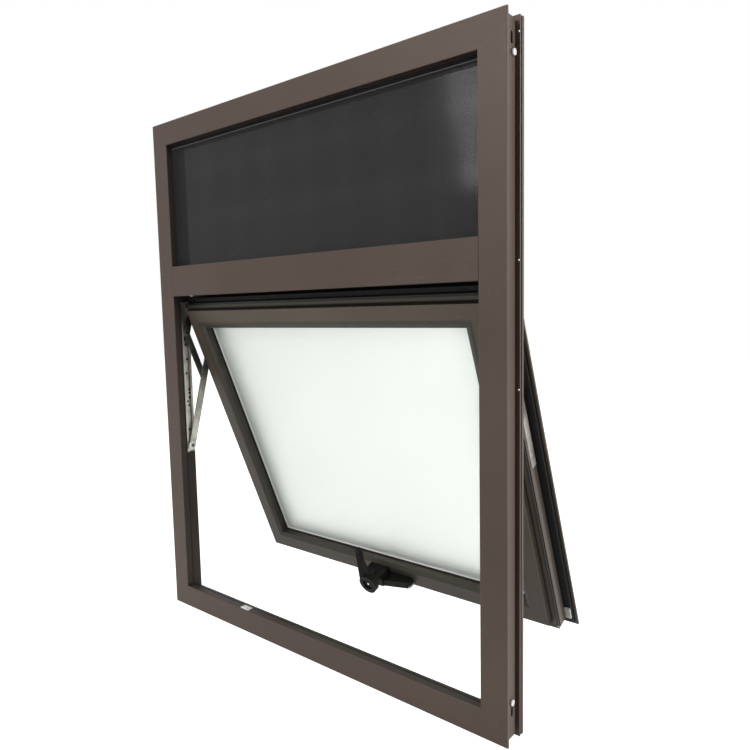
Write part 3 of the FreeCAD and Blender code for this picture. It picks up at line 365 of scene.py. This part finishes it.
bronze_upright = anodised("bronze_upright", BRONZE, BRONZE_DEEP, UPRIGHT_GRAIN, reveal=0.72)
bronze_level = anodised("bronze_level", BRONZE, BRONZE_DEEP, LEVEL_GRAIN, reveal=0.55)
sash_upright = anodised("sash_upright", SASH_BRONZE, SASH_DEEP, UPRIGHT_GRAIN,
                        grooves=stile_painted_light_and_shade)
sash_level = anodised("sash_level", SASH_BRONZE, SASH_DEEP, LEVEL_GRAIN, grooves=rail_painted_shade)
sash_foot = anodised("sash_foot", SASH_BRONZE, SASH_DEEP, LEVEL_GRAIN, grooves=foot_painted_shade)
upper_upright = anodised("upper_upright", SASH_BRONZE, SASH_DEEP, UPRIGHT_GRAIN)
upper_level = anodised("upper_level", SASH_BRONZE, SASH_DEEP, LEVEL_GRAIN)
# Shaded copies of the sash's bronze: painted shade on the beads
shaded_bead_upright = anodised("shaded_bead_upright", SHADED_BEAD_BRONZE, SHADED_BEAD_DEEP, UPRIGHT_GRAIN)
shaded_bead_level = anodised("shaded_bead_level", SHADED_BEAD_BRONZE, SHADED_BEAD_DEEP, LEVEL_GRAIN)


# Rubber, plastic, coating and steel

def plain(name, colour, roughness, metallic=0.0, grain=80, depth=0.0002, variation=0.85,
          shine=0.5):
    """An even colour with a fine grain, which also varies the roughness by 15 percent."""
    nodes = Nodes(name)
    fine = nodes.noise(grain, detail=4)
    nodes.link(nodes.ramp(fine, scaled(colour, variation), colour),
               nodes.shader.inputs["Base Color"])
    nodes.link(nodes.levels(fine, roughness * 0.85, roughness * 1.15),
               nodes.shader.inputs["Roughness"])
    nodes.set(Metallic=metallic, Specular_IOR_Level=shine)
    nodes.bump(fine, strength=0.25, distance=depth)
    return nodes.material


def stainless(name, colour, grain):
    """Brushed steel with dull stains."""
    nodes = Nodes(name)
    fine = nodes.noise(160, stretch=grain, roughness=0.7)
    stain = nodes.noise(40, detail=4)
    nodes.link(nodes.ramp(stain, scaled(colour, 0.6), colour, at=(0.3, 0.55)),
               nodes.shader.inputs["Base Color"])
    nodes.link(nodes.levels(fine, 0.28, 0.5), nodes.shader.inputs["Roughness"])
    nodes.set(Metallic=1.0)
    nodes.bump(fine, strength=0.2, distance=0.0002)
    return nodes.material


rubber = plain("black_gasket", linear(20, 20, 19), 0.7, grain=300, shine=0.25)
black_plastic = plain("black_moulding", linear(22, 22, 21), 0.5, grain=500, shine=0.3)
spline_grey = plain("spline_grey", linear(84, 82, 80), 0.7, grain=300, shine=0.3)
nylon = plain("white_nylon", linear(222, 220, 216), 0.45, grain=400)
sealant = plain("white_sealant", linear(250, 250, 246), 0.5, grain=300, variation=0.97)
grey_plastic = plain("grey_moulding", linear(186, 186, 180), 0.5, grain=300)
black_coat = plain("black_powder_coat", linear(8, 9, 6), 0.55, grain=900, depth=0.0003,
                   shine=0.12)
spacer_black = plain("spacer_black", linear(20, 20, 20), 0.8)
bright_zinc = plain("bright_zinc", linear(205, 205, 205), 0.3, metallic=0.9, grain=120)
stay_steel = stainless("stay_steel", linear(196, 192, 186), (20, 20, 1))
# A shaded copy of the stay steel: painted shade on the links
shaded_link_steel = stainless("shaded_link_steel", linear(120, 118, 114), (20, 20, 1))
screw_steel = stainless("screw_steel", linear(200, 198, 194), (1, 1, 1))
stay_bright = stainless("stay_bright", linear(226, 224, 220), (1, 1, 1))


# Glass

# The frosted pane's foot and height in the sash's own directions, from its box
GLASS_LOW, GLASS_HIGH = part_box("sash_glass")
GLASS_THICK = 5 * MM
GLASS_FOOT = (TO_UP - GLASS_HIGH.y * TURN_SIN
              + (GLASS_LOW.z + GLASS_THICK * TURN_SIN) * TURN_COS)
GLASS_TALL = (GLASS_HIGH.z - GLASS_LOW.z - GLASS_THICK * TURN_SIN) / TURN_COS
GLASS_BITE = 8 * MM
GASKET_LIP = 2 * MM

# The opening that the glass shows in: its half width and its low and high edge
PANE_SIGHT = (GLASS_HIGH.x - GLASS_BITE, GLASS_FOOT + GLASS_BITE,
              GLASS_FOOT + GLASS_TALL - GLASS_BITE)

# The frosted pane's border: a painted bright line, a painted soft shade, and where the light starts
# to pass
BORDER_LINE = 0.0016
SHADE_REACH = 0.030
SHADE_MOST = 0.1
PASS_REACH = 0.036
PASS_LEVELS = (0.68, 0.85)


def frosted_glass():
    """Acid-etched pale glass: it passes light but no view, and less light near its border, where a
    soft shade and a bright line are painted.
    """
    nodes = Nodes("frosted_glass")
    etched = nodes.noise(700, detail=2)
    cloud = nodes.noise(3, detail=2)
    across, _, along = nodes.sash_place()
    hidden = GLASS_BITE + GASKET_LIP
    from_side = nodes.math("SUBTRACT", GLASS_HIGH.x - hidden, nodes.math("ABSOLUTE", across))
    from_foot = nodes.math("SUBTRACT", along, GLASS_FOOT + hidden)
    from_top = nodes.math("SUBTRACT", GLASS_FOOT + GLASS_TALL - hidden, along)
    from_edge = nodes.math("MINIMUM", from_side, from_foot)
    body = nodes.ramp(cloud, linear(238, 244, 238), linear(245, 249, 244))
    # Painted shade, growing towards the pane's sides and foot
    shade = nodes.mapped(from_edge, (0.0, SHADE_REACH), (SHADE_MOST, 0.0),
                         interpolation_type="SMOOTHSTEP")
    shadowed = nodes.mix(shade, body, linear(214, 223, 215))
    # A painted bright line all round the border
    border = nodes.math("LESS_THAN", nodes.math("MINIMUM", from_edge, from_top), BORDER_LINE)
    nodes.link(nodes.mix(border, shadowed, linear(255, 255, 255)),
               nodes.shader.inputs["Base Color"])
    nodes.link(nodes.mapped(from_edge, (0.0, PASS_REACH), PASS_LEVELS),
               nodes.shader.inputs["Transmission Weight"])
    nodes.set(Roughness=0.6, IOR=1.45)
    nodes.bump(etched, strength=0.15, distance=0.0001)
    return nodes.material


def dark_glass():
    """Tinted glass of the upper light, with a faint ripple."""
    nodes = Nodes("dark_glass")
    ripple = nodes.noise(4, detail=1)
    nodes.link(nodes.ramp(ripple, linear(42, 41, 44), linear(50, 49, 52)),
               nodes.shader.inputs["Base Color"])
    nodes.set(Roughness=0.1, Transmission_Weight=0.12, IOR=1.5, Specular_IOR_Level=0.4)
    nodes.bump(ripple, strength=0.05, distance=0.0002)
    return nodes.material


# Finishes of the CAD pieces

FINISHES = {
    "frame_head": bronze_level, "frame_sill": bronze_level, "frame_transom": bronze_level,
    "frame_seal": rubber, "sill_keeper": bright_zinc,
    "upper_bead_top": upper_level, "upper_bead_bottom": upper_level,
    "upper_spacer": spacer_black, "upper_glass": dark_glass(),
    "sash_top_rail": sash_level, "sash_bottom_rail": sash_foot,
    "sash_bead_top": shaded_bead_level, "sash_bead_bottom": shaded_bead_level, "sash_glass": frosted_glass(),
    "sash_glass_seal_inner": rubber, "sash_glass_seal_outer": rubber, "sash_foot_seal": rubber,
    "handle_base": black_coat, "handle_lever": black_coat, "handle_latch": bright_zinc,
}
SIDE_FINISHES = {
    "frame_%s_jamb": bronze_upright, "upper_bead_%s": upper_upright,
    "sash_%s_stile": sash_upright, "sash_bead_%s": shaded_bead_upright,
    "sash_corner_block_%s": grey_plastic,
    "%s_stay_track": stay_steel, "%s_stay_arm": stay_steel, "%s_sash_bar": stay_steel,
    "%s_stay_link": shaded_link_steel, "%s_stay_top_link": shaded_link_steel,
    "%s_stay_shoe": black_plastic, "%s_track_end_cap": black_plastic,
}
for pattern, material in SIDE_FINISHES.items():
    for word in ("left", "right"):
        FINISHES[pattern % word] = material


def paint(thing, material):
    thing.data.materials.clear()
    thing.data.materials.append(material)


for node, material in FINISHES.items():
    paint(NODES[node], material)


# Shapes of the added pieces

def new_piece(name, shape, finish, body):
    bmesh.ops.recalc_face_normals(shape, faces=shape.faces)
    mesh = bpy.data.meshes.new(name)
    shape.to_mesh(mesh)
    shape.free()
    thing = bpy.data.objects.new(name, mesh)
    bpy.context.scene.collection.objects.link(thing)
    paint(thing, finish)
    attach(thing, body)
    return thing


def skin(shape, rings, closed=False):
    """Quads from each ring of vertices to the next. A closed skin joins the last ring to the
    first, and an open one has a flat face at each end."""
    pairs = list(zip(rings, rings[1:]))
    if closed:
        pairs.append((rings[-1], rings[0]))
    for lower, upper in pairs:
        for step in range(len(lower)):
            after = (step + 1) % len(lower)
            shape.faces.new((lower[step], lower[after], upper[after], upper[step]))
    if not closed:
        shape.faces.new(rings[0][::-1])
        shape.faces.new(rings[-1])


def round_piece(name, profile, place, axis, finish, body, sides=20, hollow=False):
    """A closed piece turned about an axis: the profile's radii and heights are in millimetres.
    A hollow piece is a ring, and its profile closes on itself."""
    shape = bmesh.new()
    turn = Vector(axis).normalized().to_track_quat("Z", "Y").to_matrix()
    rings = []
    for radius, height in profile:
        ring = []
        for step in range(sides):
            angle = math.tau * step / sides
            point = Vector((radius * math.cos(angle), radius * math.sin(angle), height)) * MM
            ring.append(shape.verts.new(Vector(place) + turn @ point))
        rings.append(ring)
    skin(shape, rings, closed=hollow)
    new_piece(name, shape, finish, body)


def pan_head(radius, height):
    """A screw head with a rounded rim and a driver recess."""
    return ((radius, -0.2), (radius, height * 0.45), (radius * 0.82, height * 0.9),
            (radius * 0.5, height), (radius * 0.42, height), (radius * 0.32, height * 0.4))


def rounded(radius, height):
    """A low disc with a rounded rim."""
    return ((radius, 0), (radius, height * 0.5), (radius * 0.86, height * 0.85),
            (radius * 0.55, height))


def square_ring(name, inside, section, place, finish, body):
    """A mitred ring inside a rectangle of a half width, a low and a high edge: the section holds
    steps inward and depths in millimetres, and place turns x, height and depth into a point."""
    shape = bmesh.new()
    half, low, high = inside
    rings = []
    for side, top in ((-1, 0), (1, 0), (1, 1), (-1, 1)):
        ring = []
        for inward, deep in section:
            inset = inward * MM
            height = high - inset if top else low + inset
            ring.append(shape.verts.new(place(side * (half - inset), height, deep * MM)))
        rings.append(ring)
    skin(shape, rings, closed=True)
    new_piece(name, shape, finish, body)


def strip(name, ends_at, section, place, finish, body):
    """A straight strip across the window: the section holds heights and depths in millimetres."""
    shape = bmesh.new()
    rings = [[shape.verts.new(place(x * MM, height * MM, deep * MM)) for height, deep in section]
             for x in ends_at]
    skin(shape, rings)
    new_piece(name, shape, finish, body)


# Insect mesh: two layers of fine crossing threads in place of the plain sheet

MESH_PITCH = 1.5 * MM
THREAD_HALF = 0.16 * MM
LAYER_SHIFT = THREAD_HALF * 0.8


def insect_mesh():
    low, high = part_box("upper_mesh")
    middle = (low.y + high.y) / 2
    across, deep, up = Vector((1, 0, 0)), Vector((0, 1, 0)), Vector((0, 0, 1))
    grid = bmesh.new()

    def thread(ends, first, second, shift):
        """A four-sided bar between two points, its corners along two directions."""
        corners = (first, second, -first, -second)
        skin(grid, [[grid.verts.new(Vector(end) + corner * THREAD_HALF + deep * shift)
                     for corner in corners] for end in ends])

    for column in range(int((high.x - low.x) / MESH_PITCH) + 1):
        x = low.x + THREAD_HALF + column * MESH_PITCH
        thread(((x, middle, low.z), (x, middle, high.z)), across, deep, -LAYER_SHIFT)
    for row in range(int((high.z - low.z) / MESH_PITCH) + 1):
        z = low.z + THREAD_HALF + row * MESH_PITCH
        thread(((low.x, middle, z), (high.x, middle, z)), deep, up, LAYER_SHIFT)
    threads = plain("mesh_thread", linear(62, 60, 62), 0.6, grain=200, shine=0.3)
    screen = new_piece("insect_mesh", grid, threads, "frame")
    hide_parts("upper_mesh")


insect_mesh()


# Places and sections of the small pieces, all in millimetres

SLOT_FLOOR = 316
PLUGS = (("top", 19.4, 760.5), ("foot", 15.2, 46.0))
PLUG = ((3.7, 0.4), (3.7, 1.6), (3.3, 2.3), (2.2, 2.7), (1.5, 2.7), (1.1, 1.9))
LIP_SCREWS = (783, 546.5, 405)
LIP_SIDE = 318.2
LIP_FRONT = 27.1
OUTSIDE_SCREW = (317.2, 36.4, 168.5)
TRACK_FACE = 298.5
# Black discs shaped as screw heads, which paint the shade of holes in the stay's track
TRACK_HOLE_SHADES = ((29.3, 368), (29.0, 362.5), (28.8, 355), (27.4, 341), (27.6, 420))
ARM_ROOT = (25.9, 273)
ROOT_WASHER = ((6.9, 0), (6.9, 0.35), (6.5, 0.5), (4.3, 0.5), (4.15, 0.3), (4.15, 0))
ROOT_WASHER_SIDE = 291.2
ROOT_RECESS_SIDE = 290.3
BAR_SCREWS = (268, 318, 368, 440)
BAR_SCREW = ((2.4, -0.3), (2.4, 0), (2.2, 0.08), (1.2, 0.08), (0.9, -0.2))
BAR_FACE = 291.05
BAR_DEEP = 23
KEEPER_SCREWS = (-143.3, -130.7)
KEEPER_FRONT = 4.4
KEEPER_TOP = 36.2
PAD_INNER = 293.5
PAD_OUTER = 299.95
PAD_DEEP = (34.3, 36.3)
PAD_UP = (508.0, 539.8)
PAD_RIM = 0.5
GASKET_SECTION = ((0, 12.9), (0.8, 13.1), (1.6, 14.0), (2.0, 15.3), (2.0, 16.28), (0, 16.28))
SEALANT_SECTION = ((2.0, 15.4), (2.9, 15.75), (3.6, 16.28), (2.0, 16.28))
CORD_ENDS = (-290.5, 290.5)
CORD_SECTION = ((760.4, 8.75), (760.2, 8.3), (759.6, 8.1), (759.0, 8.3), (758.8, 8.75))
FIN_ENDS = (-272, 272)
FIN_SECTION = ((489.4, 16.2), (492.5, 16.9), (495.4, 17.6), (495.8, 18.0), (495.4, 18.4),
               (492.5, 19.0), (489.4, 19.8))
BLOCK_END = 288.8
BLOCK_SECTION = ((489.4, 15.8), (498.6, 15.8), (499.2, 16.4), (499.2, 19.4), (498.6, 20.0),
                 (489.4, 20.0))
HUB_RIVET = (-6, 23, -44.3)
CORNER_PIN = (288.6, -6.2, 9.3)


def jamb_pieces(side, word):
    """Plugs in the jamb's outer slots, each on a black disc of painted shadow, and screws in its
    lip and outside.
    """
    outward = (side, 0, 0)
    for spot, y, z in PLUGS:
        place = Vector((side * SLOT_FLOOR, y, z)) * MM
        # A black disc under each plug paints its shadow
        round_piece("%s_%s_plug_shadow_disc" % (word, spot), rounded(4.5, 0.4), place, outward,
                    rubber, "frame")
        round_piece("%s_%s_plug" % (word, spot), PLUG, place, outward, nylon, "frame")
    for number, z in enumerate(LIP_SCREWS, 1):
        round_piece("%s_lip_screw_%d" % (word, number), pan_head(1.5, 0.9),
                    Vector((side * LIP_SIDE, LIP_FRONT, z)) * MM, (0, -1, 0), screw_steel,
                    "frame")
    x, y, z = OUTSIDE_SCREW
    round_piece(word + "_outside_screw", pan_head(2.2, 1.3), Vector((side * x, y, z)) * MM,
                (0, 1, 0), screw_steel, "frame")


def corner_pad(name, side):
    """A soft block that closes the corner between jamb and transom behind the sash's top."""
    shape = bmesh.new()
    low, high = PAD_UP
    front, back = PAD_DEEP
    rings = []
    for z, inset in ((low, PAD_RIM), (low + PAD_RIM, 0), (high - PAD_RIM, 0), (high, PAD_RIM)):
        corners = ((PAD_INNER + inset, front + inset), (PAD_OUTER, front + inset),
                   (PAD_OUTER, back - inset), (PAD_INNER + inset, back - inset))
        rings.append([shape.verts.new(Vector((side * x, y, z)) * MM) for x, y in corners])
    skin(shape, rings)
    new_piece(name, shape, rubber, "frame")


def stay_pieces(side, word):
    """Black discs of painted shade in the stay's track holes, screws in its bar, the corner pad,
    the ring at the arm's root, and a black disc of painted shade in the recess there.
    """
    inward = (-side, 0, 0)
    # Painted shade of the track's holes, as black discs shaped as screw heads
    for number, (y, z) in enumerate(TRACK_HOLE_SHADES, 1):
        round_piece("%s_track_hole_shade_%d" % (word, number), pan_head(1.9, 0.5),
                    Vector((side * TRACK_FACE, y, z)) * MM, inward, black_coat, "frame")
    corner_pad(word + "_corner_pad", side)
    y, z = ARM_ROOT
    round_piece(word + "_root_washer", ROOT_WASHER,
                Vector((side * ROOT_WASHER_SIDE, y, z)) * MM, inward, stay_bright,
                word + "_arm", sides=28, hollow=True)
    # A black disc paints the shade of the recess at the arm's root
    round_piece(word + "_root_recess_shade", rounded(2.3, 0.15),
                Vector((side * ROOT_RECESS_SIDE, y, z)) * MM, inward, black_coat, "frame")
    for number, s in enumerate(BAR_SCREWS, 1):
        round_piece("%s_bar_screw_%d" % (word, number), BAR_SCREW,
                    on_sash(side * BAR_FACE * MM, s * MM, BAR_DEEP * MM), (side, 0, 0),
                    screw_steel, "sash")


def small_pieces():
    for side, word in ((-1, "left"), (1, "right")):
        jamb_pieces(side, word)
        stay_pieces(side, word)
    for number, x in enumerate(KEEPER_SCREWS, 1):
        round_piece("keeper_screw_%d" % number, pan_head(1.6, 0.5),
                    Vector((x, KEEPER_FRONT, KEEPER_TOP)) * MM, (0, 0, 1), screw_steel, "frame")
    round_piece("hub_rivet", rounded(1.8, 0.8), on_sash(*(item * MM for item in HUB_RIVET)),
                -SASH_OUT, stay_bright, "handle_lever")
    round_piece("sash_corner_pin", rounded(0.9, 0.25), on_sash(*(item * MM for item in CORNER_PIN)),
                -SASH_OUT, stay_bright, "sash", sides=12)
    square_ring("sash_gasket_lip", PANE_SIGHT, GASKET_SECTION, on_sash, rubber, "sash")
    square_ring("sash_sealant", PANE_SIGHT, SEALANT_SECTION, on_sash, sealant, "sash")
    strip("mesh_cord", CORD_ENDS, CORD_SECTION, in_frame, spline_grey, "frame")
    strip("sash_top_fin", FIN_ENDS, FIN_SECTION, on_sash, rubber, "sash")
    strip("sash_left_end_block", (-BLOCK_END, FIN_ENDS[0]), BLOCK_SECTION, on_sash, rubber,
          "sash")
    strip("sash_right_end_block", (FIN_ENDS[1], BLOCK_END), BLOCK_SECTION, on_sash, rubber,
          "sash")


small_pieces()


# Floor, backdrop, light and camera

# Each lamp has a name, a place, an aim, a size and a power
LAMPS = (("key", (-0.6, -2.6, 1.9), (0, 0, 0.4), 1.6, 46),
         ("side", (5.2, 0.02, 1.0), (0.3, 0.02, 0.4), 0.5, 215),
         ("back", (0.4, 2.8, 1.6), (0, 0.1, 0.4), 2.0, 26))
FLOOR_REACH = 6.0
FLOOR_GREY = 0.72
FLOOR_GLOW = 0.86
SKY_SEEN = 1.0
SKY_LIGHT = 0.36
SENSOR_WIDTH = 36
LENS = 31.49
CAMERA_PLACE = (0.652574, -0.627248, 0.495240)
CAMERA_RIGHT = Vector((0.773232, 0.633784, -0.020731))
CAMERA_UP = Vector((-0.045958, 0.088617, 0.995005))


def white_floor():
    """A floor that keeps the shadow and otherwise shows white."""
    mesh = bpy.data.meshes.new("floor")
    corners = [(x * FLOOR_REACH, y * FLOOR_REACH, 0)
               for x, y in ((-1, -1), (1, -1), (1, 1), (-1, 1))]
    mesh.from_pydata(corners, [], [(0, 1, 2, 3)])
    floor = bpy.data.objects.new("floor", mesh)
    bpy.context.scene.collection.objects.link(floor)
    nodes = Nodes("pale_floor")
    nodes.set(Base_Color=(FLOOR_GREY, FLOOR_GREY, FLOOR_GREY, 1), Roughness=0.9,
              Specular_IOR_Level=0.0)
    glow = nodes.add("ShaderNodeEmission")
    glow.inputs["Color"].default_value = (1, 1, 1, 1)
    nodes.link(nodes.times(nodes.seen_directly(), FLOOR_GLOW), glow.inputs["Strength"])
    together = nodes.add("ShaderNodeAddShader")
    nodes.link(nodes.shader.outputs["BSDF"], together.inputs[0])
    nodes.link(glow.outputs["Emission"], together.inputs[1])
    nodes.link(together.outputs["Shader"], nodes.out.inputs["Surface"])
    paint(floor, nodes.material)


def white_backdrop():
    """A world that shows white but lights the window gently."""
    world = bpy.data.worlds.new("studio")
    bpy.context.scene.world = world
    world.use_nodes = True
    sky = Tree(world.node_tree, "ShaderNodeOutputWorld")
    blend = sky.add("ShaderNodeMixShader")
    sky.link(sky.seen_directly(), blend.inputs["Fac"])
    for strength, target in ((SKY_LIGHT, blend.inputs[1]), (SKY_SEEN, blend.inputs[2])):
        background = sky.add("ShaderNodeBackground")
        background.inputs["Color"].default_value = (1, 1, 1, 1)
        background.inputs["Strength"].default_value = strength
        sky.link(background.outputs["Background"], target)
    sky.link(blend.outputs["Shader"], sky.out.inputs["Surface"])


def lamp(name, place, aim, size, power):
    light = bpy.data.lights.new(name, "AREA")
    light.shape = "SQUARE"
    light.size = size
    light.energy = power
    item = bpy.data.objects.new(name, light)
    item.location = place
    item.rotation_euler = (Vector(aim) - Vector(place)).to_track_quat("-Z", "Y").to_euler()
    bpy.context.scene.collection.objects.link(item)


def camera():
    """The photograph's own view, as measured from the window's straight edges."""
    data = bpy.data.cameras.new("camera")
    data.sensor_width = SENSOR_WIDTH
    data.lens = LENS
    item = bpy.data.objects.new("camera", data)
    turn = Matrix((CAMERA_RIGHT, CAMERA_UP, CAMERA_RIGHT.cross(CAMERA_UP))).transposed()
    item.matrix_world = Matrix.Translation(CAMERA_PLACE) @ turn.to_4x4()
    bpy.context.scene.collection.objects.link(item)
    bpy.context.scene.camera = item


white_floor()
white_backdrop()
for settings in LAMPS:
    lamp(*settings)
camera()
bpy.context.scene.view_settings.view_transform = "Standard"
